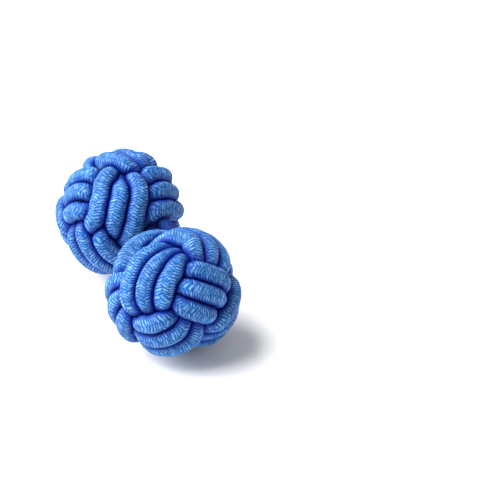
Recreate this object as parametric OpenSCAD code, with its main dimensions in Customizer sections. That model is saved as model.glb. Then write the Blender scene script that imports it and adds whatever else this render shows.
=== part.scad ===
/* [Knots] */
// Diameter of each ball knot, over the tops of its strands
ball_d = 13; // [12.8:0.2:14]
// Distance between the middles of the two knots
knot_spacing = 15; // [14.5:0.5:17]

/* [Cord] */
// Width of the braided cord, with the air beside it, where it lies free on top of a knot
cord_d = 1.86; // [1.8:0.02:1.88]
// Share of that width that it keeps where another strand presses it down
squeeze = 0.44; // [0.4:0.01:0.45]
// How much deeper a strand lies under a crossing than on top of one
dive = 1.67; // [1.6:0.01:1.75]
// Least clear gap between strands
strand_gap = 0.16; // [0.14:0.02:0.22]

/* [Link] */
// Width of the two link cords, which are stretched thinner
link_d = 1.3; // [1:0.1:1.4]
// Distance from the middle of one link cord to the middle of the other
link_pitch = 1.45; // [1.45:0.05:1.6]
// How far the first link cord bows away from the line between the knots
link_bow = 1.6; // [1.2:0.1:1.8]
// Direction of that bow round the line, in degrees from +Y towards +Z
bow_turn = 28; // [0:1:60]

/* [Hidden] */

ball_r = ball_d / 2;
// Height of the knots' middles over the surface: the lowest strands lie a little inside the ball
rest_height = ball_r - 0.41;
cord_blue = [0.20, 0.44, 0.82];
link_blue = [0.15, 0.34, 0.68];

// A knot is a ball of nine crossings in three rings of three: crossings 0 to 2, 3 to 5 and 6 to 8.
// One strand passes each of them twice, once over and once under, and always by turns.
// Rows of the route: [crossing, 1 over or 0 under]
route = [for (s = [0:2]) each [
    [s, 0],
    [3 + (s + 1) % 3, 1],
    [6 + (s + 1) % 3, 0],
    [6 + (s + 2) % 3, 1],
    [3 + s, 0],
    [s, 1]]];

// Where each crossing lies on its ball: [degrees round from +X towards +Y, degrees above the middle]
front_crossings = [
    [-53, 38], [-29, -16], [13, 28],
    [95, 54], [-95, -10], [61, -19],
    [-151, 22], [-169, -67], [126, 1]];
rear_crossings = [
    [-85, 41], [-118, -12], [-46, -23],
    [-22, 41], [-167, 10], [50, -47],
    [144, 66], [123, -11], [48, 37]];

// Steps of the strand's line from one crossing to the next: every second one becomes a ring of the tube
span_steps = 10;
ring_every = 2;
tube_sides = 8;
span_count = len(route);
line_steps = span_count * span_steps;
pass_count = 3;

// Height of a strand's middle over the ball's middle, on top of a crossing and under it
high = ball_r - cord_d / 2;
low = high - dive;
// Angle between neighbouring passes as seen from the ball's middle, on top of a crossing and under it
lane_high = 2 * asin(cord_d / 2 / high);
lane_low = 2 * asin(squeeze * cord_d / 2 / low);

// The cord is settled by pushing touching strands apart a little, again and again
settle_rounds = 70;
push_share = 0.3;
stiffness = 0.05;
memory = 0.01;
reach = 0.6;

link_half = knot_spacing / 2 - 4.8;
link_steps = 12;

function unit(v) = v / norm(v);
function total(list) = [for (v = list) 1] * list;
function blend(a, b, share) = a + (b - a) * share;
function ease(t) = let (c = min(max(t, 0), 1)) c * c * (3 - 2 * c);
function on_ball(place) = [cos(place[1]) * cos(place[0]), cos(place[1]) * sin(place[0]), sin(place[1])];
function curve(a, b, c, d, t) =
    0.5 * (2 * b + (c - a) * t + (2 * a - 5 * b + 4 * c - d) * t * t + (3 * b - a - 3 * c + d) * t * t * t);

// Point of the middle pass's line on a ball of radius 1
function on_route(crossings, span, share) =
    let (at = [for (k = [-1:2]) on_ball(crossings[route[(span + k + span_count) % span_count][0]])])
    unit(curve(at[0], at[1], at[2], at[3], share));
function middle_line(crossings) =
    [for (span = [0:span_count - 1], k = [0:span_steps - 1]) on_route(crossings, span, k / span_steps)];

// 1 where the strand lies on top of a crossing, 0 where it lies under one
function overness(k) =
    let (span = floor(k / span_steps), share = k / span_steps - span)
    route[span][1] == 1 ? 1 - share : share;
function height(k) = blend(low, high, ease((overness(k) - 0.3) / 0.4));
function lane(k) = blend(lane_low, lane_high, ease((overness(k) - 0.22) / 0.56));
function half_width(k) = 0.97 * height(k) * sin(lane(k) / 2);

// The three passes side by side, one list after the other
function loose_strands(crossings) =
    let (line = middle_line(crossings))
    [for (pass = [-1:1], k = [0:line_steps - 1])
        let (ahead = line[(k + 1) % line_steps] - line[(k + line_steps - 1) % line_steps],
             side = unit(cross(line[k], ahead)),
             turn = pass * lane(k))
        height(k) * (line[k] * cos(turn) + side * sin(turn))];
widths = [for (pass = [1:pass_count], k = [0:line_steps - 1]) half_width(k)];

function same_stretch(i, j) =
    let (apart = abs(i - j) % line_steps)
    floor(i / line_steps) == floor(j / line_steps) && min(apart, line_steps - apart) < span_steps * 0.8;
function neighbours(p) =
    [for (i = [0:len(p) - 1])
        [for (j = [0:len(p) - 1])
            if (norm(p[i] - p[j]) < widths[i] + widths[j] + reach && !same_stretch(i, j)) j]];
function near_posts(p, posts) =
    [for (i = [0:len(p) - 1])
        [for (post = posts) if (norm(p[i] - post) < cord_d / 2 + link_d / 2 + reach) post]];
function before(i) = floor(i / line_steps) * line_steps + (i + line_steps - 1) % line_steps;
function after(i) = floor(i / line_steps) * line_steps + (i + 1) % line_steps;

// Push on a point from one other point, each with its own half width
function push(here, there, room) =
    let (away = here - there, apart = norm(away))
    apart < room ? away * (push_share * (room - apart) / apart) : [0, 0, 0];
function settled(p, near, posts, home, rounds) =
    rounds == 0 ? p : settled([for (i = [0:len(p) - 1])
        let (moved = p[i] + total(concat([[0, 0, 0]],
                 [for (j = near[i]) push(p[i], p[j], widths[i] + widths[j])],
                 [for (post = posts[i]) push(p[i], post, widths[i] + link_d / 2)])),
             straight = (p[before(i)] + p[after(i)]) / 2,
             bent = moved + stiffness * (straight - moved) + memory * (home[i] - moved))
        bent * min(1, (ball_r - widths[i]) / norm(bent))], near, posts, home, rounds - 1);

// Half width at each point: the cord swells to its full width wherever its neighbours leave it room
function crowd(p) =
    [for (i = [0:len(p) - 1])
        [for (j = [0:len(p) - 1]) if (norm(p[i] - p[j]) < 2 * cord_d && !same_stretch(i, j)) j]];
function to_stretch(here, start, end) =
    let (ahead = end - start, share = min(1, max(0, (here - start) * ahead / (ahead * ahead))))
    norm(here - start - share * ahead);
function swollen(p, posts) =
    let (near = crowd(p), close_posts = near_posts(p, posts))
    [for (i = [0:len(p) - 1])
        let (strand_room = [for (j = near[i])
                 to_stretch(p[i], p[j], p[after(j)]) * widths[i] / (widths[i] + widths[j])],
             link_room = [for (post = close_posts[i]) norm(p[i] - post) - link_d / 2 - strand_gap / 2])
        min(concat([cord_d / 2, ball_r + 0.05 - norm(p[i])], strand_room, link_room)) - strand_gap / 2];

// The middles of one link cord from end to end, seen from the middle between the knots
function link_line(number) =
    [for (k = [0:link_steps])
        let (x = link_half * (2 * k / link_steps - 1),
             bow = link_bow * (1 - 0.2 * pow(x / link_half, 2)) + (number - 1) * link_pitch)
        [x, bow * cos(bow_turn), bow * sin(bow_turn)]];

// Both lists of a finished knot: the points of its strands and their half widths
function knot_strands(crossings, way) =
    let (loose = loose_strands(crossings),
         posts = [for (number = [1, 2], p = link_line(number)) p - [way * knot_spacing / 2, 0, 0]],
         near = neighbours(loose),
         close_posts = near_posts(loose, posts),
         strands = settled(loose, near, close_posts, loose, settle_rounds))
    [strands, swollen(strands, posts)];

function ring(middle, ahead, outward, radius) =
    let (up = unit(outward - ahead * (outward * ahead)), side = cross(ahead, up))
    [for (s = [0:tube_sides - 1])
        let (turn = s * 360 / tube_sides)
        middle + radius * (up * cos(turn) + side * sin(turn))];

module closed_tube(points, radii) {
    count = len(points);
    vertices = [for (i = [0:count - 1])
        let (ahead = unit(points[(i + 1) % count] - points[(i + count - 1) % count]))
        each ring(points[i], ahead, points[i], radii[i])];
    faces = [for (i = [0:count - 1], s = [0:tube_sides - 1])
        let (j = (i + 1) % count, t = (s + 1) % tube_sides)
        [i * tube_sides + s, j * tube_sides + s, j * tube_sides + t, i * tube_sides + t]];
    polyhedron(vertices, faces);
}

// Half width of a ring of the tube, whose straight stretches cut the corners of the line
function between(knot, k) =
    knot[1][k] - 0.1 * norm(knot[0][k] - (knot[0][before(k)] + knot[0][after(k)]) / 2);
function ring_width(knot, i) = max(0.2, min(knot[1][i], between(knot, before(i)), between(knot, after(i))));

module knot_pass(crossings, way, number) {
    knot = knot_strands(crossings, way);
    first = (number - 1) * line_steps;
    picks = [for (k = [0:ring_every:line_steps - 1]) first + k];
    translate([way * knot_spacing / 2, 0, rest_height])
        closed_tube([for (i = picks) knot[0][i]], [for (i = picks) ring_width(knot, i)]);
}

module link_cord(number) {
    line = link_line(number);
    count = len(line);
    vertices = [for (i = [0:count - 1])
        let (ahead = unit(line[min(i + 1, count - 1)] - line[max(i - 1, 0)]))
        each ring(line[i], ahead, [0, 0, 1], link_d / 2)];
    walls = [for (i = [0:count - 2], s = [0:tube_sides - 1])
        let (t = (s + 1) % tube_sides)
        [i * tube_sides + s, (i + 1) * tube_sides + s, (i + 1) * tube_sides + t, i * tube_sides + t]];
    first_cap = [[for (s = [0:tube_sides - 1]) s]];
    last_cap = [[for (s = [tube_sides - 1:-1:0]) (count - 1) * tube_sides + s]];
    color(link_blue)
        translate([0, 0, rest_height])
            polyhedron(vertices, concat(walls, first_cap, last_cap));
}

module front_knot_pass(number) {
    color(cord_blue) knot_pass(front_crossings, 1, number);
}

module rear_knot_pass(number) {
    color(cord_blue) knot_pass(rear_crossings, -1, number);
}

front_knot_pass(1);  // front_knot_pass_1
front_knot_pass(2);  // front_knot_pass_2
front_knot_pass(3);  // front_knot_pass_3
rear_knot_pass(1);  // rear_knot_pass_1
rear_knot_pass(2);  // rear_knot_pass_2
rear_knot_pass(3);  // rear_knot_pass_3
link_cord(1);  // link_cord_1
link_cord(2);  // link_cord_2
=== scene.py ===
"""Looks of a silk knot cuff button: two ball knots of braided cord on a short soft link."""
import math

import bpy
import numpy as np
from mathutils import Matrix, Vector


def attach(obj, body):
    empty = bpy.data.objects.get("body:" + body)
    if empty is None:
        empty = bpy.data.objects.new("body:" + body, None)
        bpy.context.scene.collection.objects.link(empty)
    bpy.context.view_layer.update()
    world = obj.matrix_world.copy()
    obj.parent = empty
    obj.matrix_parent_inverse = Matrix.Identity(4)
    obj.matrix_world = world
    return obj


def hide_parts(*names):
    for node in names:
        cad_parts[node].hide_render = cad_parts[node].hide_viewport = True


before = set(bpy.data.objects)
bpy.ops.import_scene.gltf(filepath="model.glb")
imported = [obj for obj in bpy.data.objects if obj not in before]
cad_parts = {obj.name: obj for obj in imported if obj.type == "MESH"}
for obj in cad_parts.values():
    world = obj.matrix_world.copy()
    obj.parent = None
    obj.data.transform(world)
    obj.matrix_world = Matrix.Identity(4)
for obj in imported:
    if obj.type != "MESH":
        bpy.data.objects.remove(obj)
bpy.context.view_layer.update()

MM = 0.001

# Sizes of the knots and the link, in millimetres
BALL_D = 13.0
BALL_R = BALL_D / 2
KNOT_SPACING = 15.0
# The lowest strands lie a little inside the ball
REST_HEIGHT = BALL_R - 0.41
CORD_D = 1.86
# Share of its width that the cord keeps under a crossing, and how much deeper it lies there
SQUEEZE = 0.44
DIVE = 1.67
LINK_D = 1.3
LINK_PITCH = 1.45
LINK_HALF = 2.7
# How far the link bows away from the line between the knots, the share of that which it loses towards its
# ends, and the direction of the bow in degrees from +Y towards +Z
LINK_BOW = 1.6
BOW_LOSS = 0.2
BOW_TURN = 28.0

# Steps of a strand's line from one crossing to the next
SPAN_STEPS = 10
# How the strands are settled: touching ones push each other apart, again and again
SETTLE_ROUNDS = 70
PUSH_SHARE = 0.3
STIFFNESS = 0.05
MEMORY = 0.01
REACH = 0.6
SETTLE_POST_STEPS = 12
# Steps between points of one pass that still belong to the same stretch
SAME_STRETCH = SPAN_STEPS * 0.8
# Share of its lane that a strand fills
WIDTH_SHARE = 0.97
# Where a strand climbs and where it spreads on its way to the top of a crossing: start and length, in spans
CLIMB = (0.3, 0.4)
SPREAD = (0.22, 0.56)

# Crossings of each knot: degrees round from +X towards +Y, degrees above the middle
FRONT_CROSSINGS = [
    (-53, 38), (-29, -16), (13, 28),
    (95, 54), (-95, -10), (61, -19),
    (-151, 22), (-169, -67), (126, 1)]
REAR_CROSSINGS = [
    (-85, 41), (-118, -12), (-46, -23),
    (-22, 41), (-167, 10), (50, -47),
    (144, 66), (123, -11), (48, 37)]

# The strand's route: (crossing, 1 over or 0 under)
ROUTE = []
for first in range(3):
    second, third = (first + 1) % 3, (first + 2) % 3
    ROUTE += [(first, 0), (3 + second, 1), (6 + second, 0), (6 + third, 1), (3 + first, 0), (first, 1)]

# The braided cord's surface, in millimetres
RIB_PITCH = 0.27
RINGS_PER_RIB = 4
RIB_LEAN = 0.22
RIB_DEPTH = 0.072
# Columns of ribs round the cord, and sides of its mesh
COLUMNS = 8
SIDES = 42
ANGLES = np.arange(SIDES) * 2 * math.pi / SIDES
# Length of the slowest wave along the cord
SLOW_WAVE = 11
# Waves in which the columns wander round the cord: (size, rate, shift by seed)
COLUMN_WAVES = [(0.35, 1, 1), (0.15, 3, 2)]
# Waves that make the ribs' pitch uneven: (size, rate, shift by column, by seed, by place across the column)
RIB_WAVES = [(0.12, 5, 2.1, 1, 0), (0.09, 13, 4.3, 0, 0), (0.06, 31, 1.7, 0, 5)]
# Share of half a column over which its ribs rise from the column's edge
RIB_EDGE = 0.45
# Share of their depth that the ribs keep at least where the cord is squeezed
LEAST_RIBS = 0.3
# Height at which a cord that rests on the surface is pressed flat
REST_SKIN = 0.01

# How neighbouring cords press each other flat, in millimetres
SECTION_STEP = 0.2
CLOUD_STEP = 0.22
LINK_POST_STEPS = 28
# Half width of a cord with nothing beside it: at its outer side, and inside the ball, where it isn't seen
FREE_R = 1.0
FULL_R = 2.0
LEAST_R = 0.12
# Where round the section the inner side begins, and how soon it is full, as cosines
INNER_SIDE = (0.1, 0.6)
BALL_MARGIN = 0.02
# Length of its own cord that doesn't press on a place
OWN_REACH = 4.0
# Softness of the edge of a pressed face, and the gap left at it
SOFT = 0.03
CONTACT = 0.03
# Shares of the line's own length and of the outer side's length in the spacing of the rings
LINE_SHARE, OUTER_SHARE = 0.35, 0.65
# Steps of a smooth curve from one of its points to the next
CURVE_STEPS = 12
TINY = 1e-6


def unit(v):
    return v / np.linalg.norm(v, axis=-1, keepdims=True)


def ease(t):
    t = np.clip(t, 0.0, 1.0)
    return t * t * (3.0 - 2.0 * t)


def on_ball(place):
    lon, lat = (math.radians(v) for v in place)
    return np.array([math.cos(lat) * math.cos(lon), math.cos(lat) * math.sin(lon), math.sin(lat)])


def closed_curve(points, steps):
    """Catmull-Rom curve through closed rows of numbers."""
    before, here, after, beyond = (np.roll(points, k, 0) for k in (1, 0, -1, -2))
    rows = []
    for k in range(steps):
        t = k / steps
        slope = (after - before) * t
        bend = (2 * before - 5 * here + 4 * after - beyond) * t * t
        twist = (3 * here - before - 3 * after + beyond) * t ** 3
        rows.append(0.5 * (2 * here + slope + bend + twist))
    return np.stack(rows, 1).reshape(-1, points.shape[1])


def link_line(number, steps):
    """Middles of one link cord from end to end, about the middle between the knots."""
    turn = math.radians(BOW_TURN)
    rows = []
    for k in range(steps + 1):
        x = LINK_HALF * (2 * k / steps - 1)
        bow = LINK_BOW * (1 - BOW_LOSS * (x / LINK_HALF) ** 2) + (number - 1) * LINK_PITCH
        rows.append((x, bow * math.cos(turn), bow * math.sin(turn)))
    return np.array(rows)


def link_posts(way, steps):
    """Middles of both link cords, about the middle of one knot."""
    both = np.concatenate([link_line(number, steps) for number in (1, 2)])
    return both - np.array([way * KNOT_SPACING / 2, 0, 0])


def loose_strands(crossings):
    """The three passes laid side by side, one after the other, and their half widths."""
    places = np.array([on_ball(crossings[c]) for c, _ in ROUTE])
    line = unit(closed_curve(places, SPAN_STEPS))
    side = unit(np.cross(line, np.roll(line, -1, 0) - np.roll(line, 1, 0)))
    step = np.arange(len(line)) / SPAN_STEPS
    share = step - np.floor(step)
    over = np.array([ROUTE[int(s)][1] for s in step])
    overness = np.where(over == 1, 1 - share, share)
    high = BALL_R - CORD_D / 2
    low = high - DIVE
    lane_high = 2 * math.asin(CORD_D / 2 / high)
    lane_low = 2 * math.asin(SQUEEZE * CORD_D / 2 / low)
    height = low + (high - low) * ease((overness - CLIMB[0]) / CLIMB[1])
    lane = lane_low + (lane_high - lane_low) * ease((overness - SPREAD[0]) / SPREAD[1])
    width = WIDTH_SHARE * height * np.sin(lane / 2)
    passes = [height[:, None] * (line * np.cos(k * lane)[:, None] + side * np.sin(k * lane)[:, None])
              for k in (-1, 0, 1)]
    return np.concatenate(passes), np.tile(width, 3)


def pushes(away, gap, room):
    """How far strands are pushed apart where they are nearer than they have room for."""
    return away * np.where(gap < room, PUSH_SHARE * (room - gap) / gap, 0)[..., None]


def settled_knot(crossings, way):
    """The three passes of one knot, as (3, n, 3) points about the ball's middle, in millimetres."""
    points, width = loose_strands(crossings)
    count = len(points) // 3
    index = np.arange(3 * count)
    strand = index // count
    apart = np.abs(index[:, None] - index[None]) % count
    same = (strand[:, None] == strand[None]) & (np.minimum(apart, count - apart) < SAME_STRETCH)
    distance = np.linalg.norm(points[:, None] - points[None], axis=2)
    a, b = np.nonzero((distance < width[:, None] + width[None] + REACH) & ~same)
    posts = link_posts(way, SETTLE_POST_STEPS)
    before = strand * count + (index + count - 1) % count
    after = strand * count + (index + 1) % count
    home = points.copy()
    for _ in range(SETTLE_ROUNDS):
        away = points[a] - points[b]
        move = np.zeros_like(points)
        np.add.at(move, a, pushes(away, np.linalg.norm(away, axis=1), width[a] + width[b]))
        away = points[:, None] - posts[None]
        move += pushes(away, np.linalg.norm(away, axis=2), width[:, None] + LINK_D / 2).sum(1)
        moved = points + move
        straight = (points[before] + points[after]) / 2
        bent = moved + STIFFNESS * (straight - moved) + MEMORY * (home - moved)
        points = bent * np.minimum(1, (BALL_R - width) / np.linalg.norm(bent, axis=1))[:, None]
    return points.reshape(3, count, 3)


def resampled(points, spacing):
    """Closed line at an even spacing, and its whole length."""
    fine = closed_curve(points, CURVE_STEPS)
    loop = np.vstack([fine, fine[:1]])
    along = np.concatenate([[0], np.cumsum(np.linalg.norm(np.diff(loop, axis=0), axis=1))])
    count = int(round(along[-1] / spacing))
    at = np.arange(count) * along[-1] / count
    return np.stack([np.interp(at, along, loop[:, k]) for k in range(3)], 1), along[-1]


def closed_frames(points):
    """Outward and sideways directions at each point of a closed line about the ball's middle."""
    ahead = unit(np.roll(points, -1, 0) - np.roll(points, 1, 0))
    outward = unit(points)
    up = unit(outward - (outward * ahead).sum(1, keepdims=True) * ahead)
    return up, np.cross(ahead, up)


def open_frames(points):
    """Upward and sideways directions at each point of a line with two ends."""
    ahead = unit(np.gradient(points, axis=0))
    up = unit(np.array([0, 0, 1.0]) - ahead[:, 2:3] * ahead)
    return up, np.cross(ahead, up)


def section_rays(up, side):
    """Directions round the section at each point of a line."""
    return up[:, None] * np.cos(ANGLES)[None, :, None] + side[:, None] * np.sin(ANGLES)[None, :, None]


def to_ball(here, rays):
    """How far each ray from a point goes before it leaves the ball."""
    out = rays @ here
    return np.sqrt(out ** 2 + (BALL_R + BALL_MARGIN) ** 2 - here @ here) - out


def softened(rows):
    """Rows of sections, smoothed a little along the cord and round it."""
    rows = (np.roll(rows, 1, 0) + 2 * rows + np.roll(rows, -1, 0)) / 4
    return (np.roll(rows, 1, 1) + 2 * rows + np.roll(rows, -1, 1)) / 4


def pressed_sections(lines, posts):
    """Each line's rings, and how far their skin is from the middle where neighbouring cords press on it."""
    clouds = [resampled(line, CLOUD_STEP)[0] for line in lines]
    near = np.concatenate(clouds + [posts])
    near_r = np.concatenate([np.full(len(c), FREE_R) for c in clouds] + [np.full(len(posts), LINK_D / 2)])
    # the link cords belong to no line
    owner = np.concatenate([np.full(len(c), k) for k, c in enumerate(clouds)] + [np.full(len(posts), -1)])
    spot = np.concatenate([np.arange(len(c)) / len(c) for c in clouds] + [np.zeros(len(posts))])
    # inside the ball, where it isn't seen, the cord fills the room that it finds
    inward = ease((-np.cos(ANGLES) - INNER_SIDE[0]) / INNER_SIDE[1])
    out = []
    for k, line in enumerate(lines):
        points, length = resampled(line, SECTION_STEP)
        up, side = closed_frames(points)
        rays = section_rays(up, side)
        skin = np.zeros((len(points), SIDES))
        clear = np.ones((len(points), SIDES))
        place = np.arange(len(points)) / len(points)
        for i, here in enumerate(points):
            d = near - here
            far = np.einsum("ij,ij->i", d, d)
            turn = np.abs(spot - place[i])
            own = (owner == k) & (np.minimum(turn, 1 - turn) * length < OWN_REACH)
            pick = (far < (2 * FULL_R) ** 2) & ~own & (far > TINY)
            limit = np.minimum(FREE_R + (FULL_R - FREE_R) * inward, to_ball(here, rays[i]))
            if pick.any():
                d, far, r = d[pick], far[pick], near_r[pick]
                facing = rays[i] @ d.T
                t = (far + FREE_R ** 2 - r ** 2)[None] / (2 * np.maximum(facing, TINY))
                nearest = t.min(1)
                # a soft minimum of the free radius and the plane where two cords meet
                h = np.clip(0.5 + 0.5 * (nearest - limit) / SOFT, 0, 1)
                limit = nearest * (1 - h) + limit * h - SOFT * h * (1 - h) - CONTACT
            skin[i] = np.maximum(limit, LEAST_R)
            # clear space beside the skin, which sets the painted shade between strands
            if pick.any():
                apart = np.linalg.norm((rays[i] * skin[i][:, None])[:, None] - d[None], axis=2) - r[None]
                clear[i] = np.clip(apart.min(1), 0, 1)
        out.append(even_ribs(points, up, softened(softened(skin)), softened(clear)))
    return out


def even_ribs(points, up, skin, clear):
    """Rings at an even pitch along the outer side of the cord, which its ribs keep round a bend."""
    count = len(points)
    outer = points + up * skin[:, :1]
    step = LINE_SHARE * np.linalg.norm(np.roll(points, -1, 0) - points, axis=1)
    step = step + OUTER_SHARE * np.linalg.norm(np.roll(outer, -1, 0) - outer, axis=1)
    for _ in range(3):
        step = (np.roll(step, 1) + 2 * step + np.roll(step, -1)) / 4
    along = np.concatenate([[0], np.cumsum(step)])
    rings = int(round(along[-1] / (RIB_PITCH / RINGS_PER_RIB)))
    at = np.interp(np.arange(rings) * along[-1] / rings, along, np.arange(count + 1))
    curve = closed_curve(points, CURVE_STEPS)
    place = at * CURVE_STEPS
    here = np.floor(place).astype(int) % len(curve)
    mix = (place - np.floor(place))[:, None]
    middle = curve[here] * (1 - mix) + curve[(here + 1) % len(curve)] * mix
    low = np.floor(at).astype(int) % count
    high = (low + 1) % count
    mix = (at - np.floor(at))[:, None]
    skin = skin[low] * (1 - mix) + skin[high] * mix
    clear = clear[low] * (1 - mix) + clear[high] * mix
    return middle, skin, clear, along[-1]


def braid(along, turn, length, seed):
    """Height of the braid's ribs, 0 in the grooves to 1 on top, and each rib's own shade."""
    ribs = round(length / RIB_PITCH)
    slow = 2 * math.pi * max(1, round(length / SLOW_WAVE)) / length
    # one column lies along the outer side of the cord
    around = turn * COLUMNS + 0.5
    for size, rate, by_seed in COLUMN_WAVES:
        around = around + size * np.sin(along * slow * rate + by_seed * seed)
    column = np.floor(around)
    across = around - column
    column = column.astype(int) % COLUMNS
    lean = np.where(column % 2 == 0, 1.0, -1.0)
    phase = along * ribs / length + lean * RIB_LEAN / RIB_PITCH * (across - 0.5) + 0.5 * (column % 2)
    for size, rate, by_column, by_seed, by_place in RIB_WAVES:
        shift = column * by_column + by_seed * seed + by_place * across
        phase = phase + size * np.sin(along * slow * rate + shift)
    ridge = (0.5 - 0.5 * np.cos(2 * math.pi * phase)) ** 0.5
    middle = ease((1 - np.abs(across - 0.5) * 2) / RIB_EDGE)
    chance = np.random.default_rng(seed)
    own = chance.uniform(0, 1, (ribs, COLUMNS))[np.floor(phase).astype(int) % ribs, column]
    # a rib is highest in the middle of its column, and each one has its own height
    rise = ridge * (0.74 + 0.2 * middle) * (0.8 + 0.2 * own) + 0.06 * middle
    return rise, own


def add_object(name, data):
    obj = bpy.data.objects.new(name, data)
    bpy.context.scene.collection.objects.link(obj)
    return obj


def cord_mesh(name, points, skin, clear, length, shift, seed, closed=True):
    """A ribbed cord along a line, with its attributes for the material."""
    up, side = closed_frames(points) if closed else open_frames(points)
    count = len(points)
    spans = count if closed else count - 1
    along = np.arange(count)[:, None] * length / spans
    around = np.repeat((ANGLES / (2 * math.pi))[None], count, 0)
    rise, own = braid(along, around, length, seed)
    # ribs are lower where the cord is squeezed
    reach = skin - RIB_DEPTH * (1 - rise) * np.clip(skin / (CORD_D / 2), LEAST_RIBS, 1.0)
    spots = points[:, None] + section_rays(up, side) * reach[:, :, None] + shift
    vertices = spots.reshape(-1, 3) * MM
    vertices[:, 2] = np.maximum(vertices[:, 2], REST_SKIN * MM)
    ring = np.arange(spans)[:, None]
    ring_after = (ring + 1) % count
    here = np.arange(SIDES)[None]
    beside = (here + 1) % SIDES
    corners = [ring * SIDES + here, ring * SIDES + beside,
               ring_after * SIDES + beside, ring_after * SIDES + here]
    faces = np.stack(corners, 2).reshape(-1, 4).tolist()
    mesh = bpy.data.meshes.new(name)
    mesh.from_pydata(vertices.tolist(), [], faces if closed else faces + end_caps(count))
    mesh.update()
    for label, rows in (("rib", rise), ("own", own), ("clear", clear)):
        values = mesh.attributes.new(label, "FLOAT", "POINT")
        values.data.foreach_set("value", np.ascontiguousarray(rows, dtype=np.float32).reshape(-1))
    # place in the cord as if it lay straight, for fine threads that run across it
    thread = np.stack([np.cos(ANGLES)[None] * skin, np.sin(ANGLES)[None] * skin, along + 0 * skin], 2)
    values = mesh.attributes.new("thread", "FLOAT_VECTOR", "POINT")
    values.data.foreach_set("vector", np.ascontiguousarray(thread, dtype=np.float32).reshape(-1))
    mesh.polygons.foreach_set("use_smooth", [True] * len(mesh.polygons))
    return add_object(name, mesh)


def end_caps(count):
    first = [list(range(SIDES))[::-1]]
    last = [[(count - 1) * SIDES + k for k in range(SIDES)]]
    return first + last


# Middle part of a noise texture's values, which is spread over a range of its own
NOISE_RANGE = (0.3, 0.7)
# Threads in a millimetre of cord: outwards, sideways and along it
THREAD_SCALE = (2.4, 2.4, 11.0)
# Patches in a metre
PATCH_SCALE = 380.0
# Heights of a rib where the ramp reaches the groove's painted shade, the side's own colour and the top's
# painted highlight
GROOVE, FLANK, TOP = 0.08, 0.55, 0.95
# How far the threads move a rib's height on the ramp
RIB_UNEVEN = (-0.24, 0.24)
# Darkest and lightest shade of the patches, the threads and the single ribs, and the threads' hues
PATCH_SHADES = (0.82, 1.18)
THREAD_SHADES = (0.66, 1.34)
RIB_SHADES = (0.87, 1.13)
THREAD_HUES = (0.487, 0.513)
# Clear space, in millimetres, at which the painted shade between strands is darkest and at which the cord
# has its own colour
CREASE = (0.02, 0.75)


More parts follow.
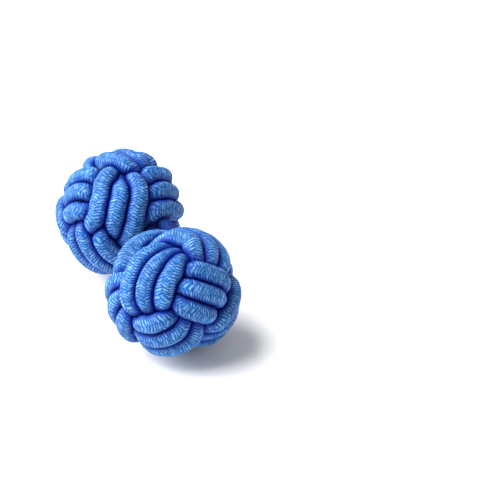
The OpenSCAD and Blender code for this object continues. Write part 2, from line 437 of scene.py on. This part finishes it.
def braid_material(name, crease_shade, groove_shade, main, light, roughness, sheen):
    """Braid: its own colour on the sides of the ribs, painted shade between two strands and in the grooves,
    and a painted highlight on top of the ribs.
    """
    mat = bpy.data.materials.new(name)
    mat.use_nodes = True
    tree = mat.node_tree
    nodes, links = tree.nodes, tree.links
    shader = nodes["Principled BSDF"]

    def attribute(label, output="Fac"):
        node = nodes.new("ShaderNodeAttribute")
        node.attribute_name = label
        return node.outputs[output]

    def noise(vector, scale, roughness=0.5):
        node = nodes.new("ShaderNodeTexNoise")
        node.inputs["Scale"].default_value = scale
        node.inputs["Detail"].default_value = 3.0
        node.inputs["Roughness"].default_value = roughness
        links.new(vector, node.inputs["Vector"])
        return node.outputs["Fac"]

    def spread(source, values, given=(0.0, 1.0)):
        node = nodes.new("ShaderNodeMapRange")
        for label, value in zip(("From Min", "From Max", "To Min", "To Max"), (*given, *values)):
            node.inputs[label].default_value = value
        links.new(source, node.inputs["Value"])
        return node.outputs["Result"]

    def spread_noise(source, values):
        return spread(source, values, NOISE_RANGE)

    def joined(operation, first, second):
        node = nodes.new("ShaderNodeMath")
        node.operation = operation
        links.new(first, node.inputs[0])
        links.new(second, node.inputs[1])
        return node.outputs["Value"]

    # fine threads across the cord
    stretch = nodes.new("ShaderNodeMapping")
    stretch.inputs["Scale"].default_value = THREAD_SCALE
    links.new(attribute("thread", "Vector"), stretch.inputs["Vector"])
    threads = noise(stretch.outputs["Vector"], 1.0, 0.6)
    # ribs: painted shade in the grooves, a painted highlight on top, with edges that the threads make
    # uneven
    ramp = nodes.new("ShaderNodeValToRGB")
    ramp.color_ramp.elements[0].position = GROOVE
    ramp.color_ramp.elements[0].color = (*groove_shade, 1)
    ramp.color_ramp.elements[1].position = TOP
    ramp.color_ramp.elements[1].color = (*light, 1)
    ramp.color_ramp.elements.new(FLANK).color = (*main, 1)
    links.new(joined("ADD", attribute("rib"), spread_noise(threads, RIB_UNEVEN)), ramp.inputs["Fac"])
    # worn and shaded patches, threads and single ribs
    coords = nodes.new("ShaderNodeTexCoord")
    shade = spread_noise(noise(coords.outputs["Object"], PATCH_SCALE), PATCH_SHADES)
    shade = joined("MULTIPLY", shade, spread_noise(threads, THREAD_SHADES))
    shade = joined("MULTIPLY", shade, spread(attribute("own"), RIB_SHADES))
    vary = nodes.new("ShaderNodeHueSaturation")
    links.new(shade, vary.inputs["Value"])
    links.new(spread_noise(threads, THREAD_HUES), vary.inputs["Hue"])
    links.new(ramp.outputs["Color"], vary.inputs["Color"])
    # painted shade: the colour darkens down between two strands, where little light reaches
    crease = nodes.new("ShaderNodeMix")
    crease.data_type = "RGBA"
    crease.inputs["A"].default_value = (*crease_shade, 1)
    open_share = spread(attribute("clear"), (0.0, 1.0), CREASE)
    open_share.node.interpolation_type = "SMOOTHSTEP"
    links.new(open_share, crease.inputs["Factor"])
    links.new(vary.outputs["Color"], crease.inputs["B"])
    links.new(crease.outputs["Result"], shader.inputs["Base Color"])
    bump = nodes.new("ShaderNodeBump")
    bump.inputs["Strength"].default_value = 0.7
    bump.inputs["Distance"].default_value = 0.05 * MM
    links.new(threads, bump.inputs["Height"])
    links.new(bump.outputs["Normal"], shader.inputs["Normal"])
    shader.inputs["Roughness"].default_value = roughness
    shader.inputs["Sheen Weight"].default_value = sheen
    shader.inputs["Sheen Roughness"].default_value = 0.4
    shader.inputs["Specular IOR Level"].default_value = 0.12
    return mat


# the sides' colour is the silk's own; the colours between strands and in the grooves are painted shade, the
# top colour a painted highlight
silk = braid_material(
    "silk_braid",
    crease_shade=(0.0002, 0.016, 0.23), groove_shade=(0.001, 0.04, 0.25),
    main=(0.016, 0.115, 0.375), light=(0.145, 0.285, 0.445),
    roughness=0.55, sheen=0.02)
# link cords: the same silk, darker all over as painted shade, since they lie in shadow between the knots
shaded_link_silk = braid_material(
    "shaded_link_braid",
    crease_shade=(0.0005, 0.008, 0.1), groove_shade=(0.003, 0.035, 0.19),
    main=(0.008, 0.07, 0.3), light=(0.03, 0.15, 0.44),
    roughness=0.6, sheen=0.0)


def finish_piece(obj, material, node):
    obj.data.materials.append(material)
    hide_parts(node)
    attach(obj, "root")


for knot, crossings, way in (("front", FRONT_CROSSINGS, 1), ("rear", REAR_CROSSINGS, -1)):
    passes = pressed_sections(settled_knot(crossings, way), link_posts(way, LINK_POST_STEPS))
    shift = np.array([way * KNOT_SPACING / 2, 0, REST_HEIGHT])
    for number, (points, skin, clear, length) in enumerate(passes, 1):
        piece = cord_mesh(f"{knot}_pass_{number}", points, skin, clear, length, shift, 10 * number + way)
        finish_piece(piece, silk, f"{knot}_knot_pass_{number}")

# Steps of a link cord from ring to ring, and the clear space that sets the painted shade it shows all
# along, in millimetres
LINK_RINGS = 160
LINK_SHADE_CLEAR = 0.2
for number in (1, 2):
    line = link_line(number, LINK_RINGS)
    length = np.linalg.norm(np.diff(line, axis=0), axis=1).sum()
    skin = np.full((len(line), SIDES), LINK_D / 2)
    clear = np.full(skin.shape, LINK_SHADE_CLEAR)
    shift = np.array([0, 0, REST_HEIGHT])
    piece = cord_mesh(f"link_{number}", line, skin, clear, length, shift, number, closed=False)
    finish_piece(piece, shaded_link_silk, f"link_cord_{number}")

# The photograph's view: its direction in degrees, its distance and the width that it shows, in metres
AZIMUTH, ELEVATION, DISTANCE = 68.9, 32.2, 0.26
VIEW_WIDTH = 47.8 * MM
SENSOR_WIDTH = 36
az, el = math.radians(AZIMUTH), math.radians(ELEVATION)
RIGHT = np.array([math.cos(az), math.sin(az), 0])
UP = np.array([-math.sin(az) * math.sin(el), math.cos(az) * math.sin(el), math.cos(el)])
BACK = np.array([math.sin(az) * math.cos(el), -math.cos(az) * math.cos(el), math.sin(el)])

# The photograph's middle, seen from the middle between the knots, in millimetres to the right and upwards
AIM = np.array([0, 0, REST_HEIGHT * MM]) + (RIGHT * 9.86 + UP * 0.2) * MM


def floor(half_size):
    mesh = bpy.data.meshes.new("floor")
    corners = [(-half_size, -half_size, 0), (half_size, -half_size, 0), (half_size, half_size, 0),
               (-half_size, half_size, 0)]
    mesh.from_pydata(corners, [], [(0, 1, 2, 3)])
    obj = add_object("floor", mesh)
    mat = bpy.data.materials.new("paper_white")
    mat.use_nodes = True
    shader = mat.node_tree.nodes["Principled BSDF"]
    shader.inputs["Base Color"].default_value = (0.9, 0.9, 0.9, 1)
    shader.inputs["Roughness"].default_value = 0.9
    obj.data.materials.append(mat)


def area_light(name, right, up, back, size, watts):
    """A square light aimed at the photograph's middle, placed from there as the camera sees it."""
    light = bpy.data.lights.new(name, "AREA")
    light.size = size
    light.energy = watts
    place = AIM + (RIGHT * right + UP * up + BACK * back)
    obj = add_object(name, light)
    obj.location = place.tolist()
    obj.rotation_mode = "QUATERNION"
    obj.rotation_quaternion = Vector(place - AIM).to_track_quat("Z", "Y")


def world_light(strength):
    world = bpy.data.worlds.new("studio")
    bpy.context.scene.world = world
    world.use_nodes = True
    background = world.node_tree.nodes["Background"]
    background.inputs["Color"].default_value = (1, 1, 1, 1)
    background.inputs["Strength"].default_value = strength


floor(half_size=1.5)
area_light("key", right=-0.46, up=0.44, back=0.30, size=0.75, watts=16.5)
area_light("fill", right=0.45, up=0.15, back=0.35, size=0.5, watts=0.5)
world_light(strength=0.4)

camera_data = bpy.data.cameras.new("camera")
camera = add_object("camera", camera_data)
turn = Matrix(((RIGHT[0], UP[0], BACK[0]), (RIGHT[1], UP[1], BACK[1]), (RIGHT[2], UP[2], BACK[2])))
camera.matrix_world = Matrix.Translation((AIM + BACK * DISTANCE).tolist()) @ turn.to_4x4()
camera_data.sensor_width = SENSOR_WIDTH
camera_data.lens = SENSOR_WIDTH * DISTANCE / VIEW_WIDTH
camera_data.clip_start = 0.01
bpy.context.scene.camera = camera
bpy.context.scene.view_settings.view_transform = "Standard"
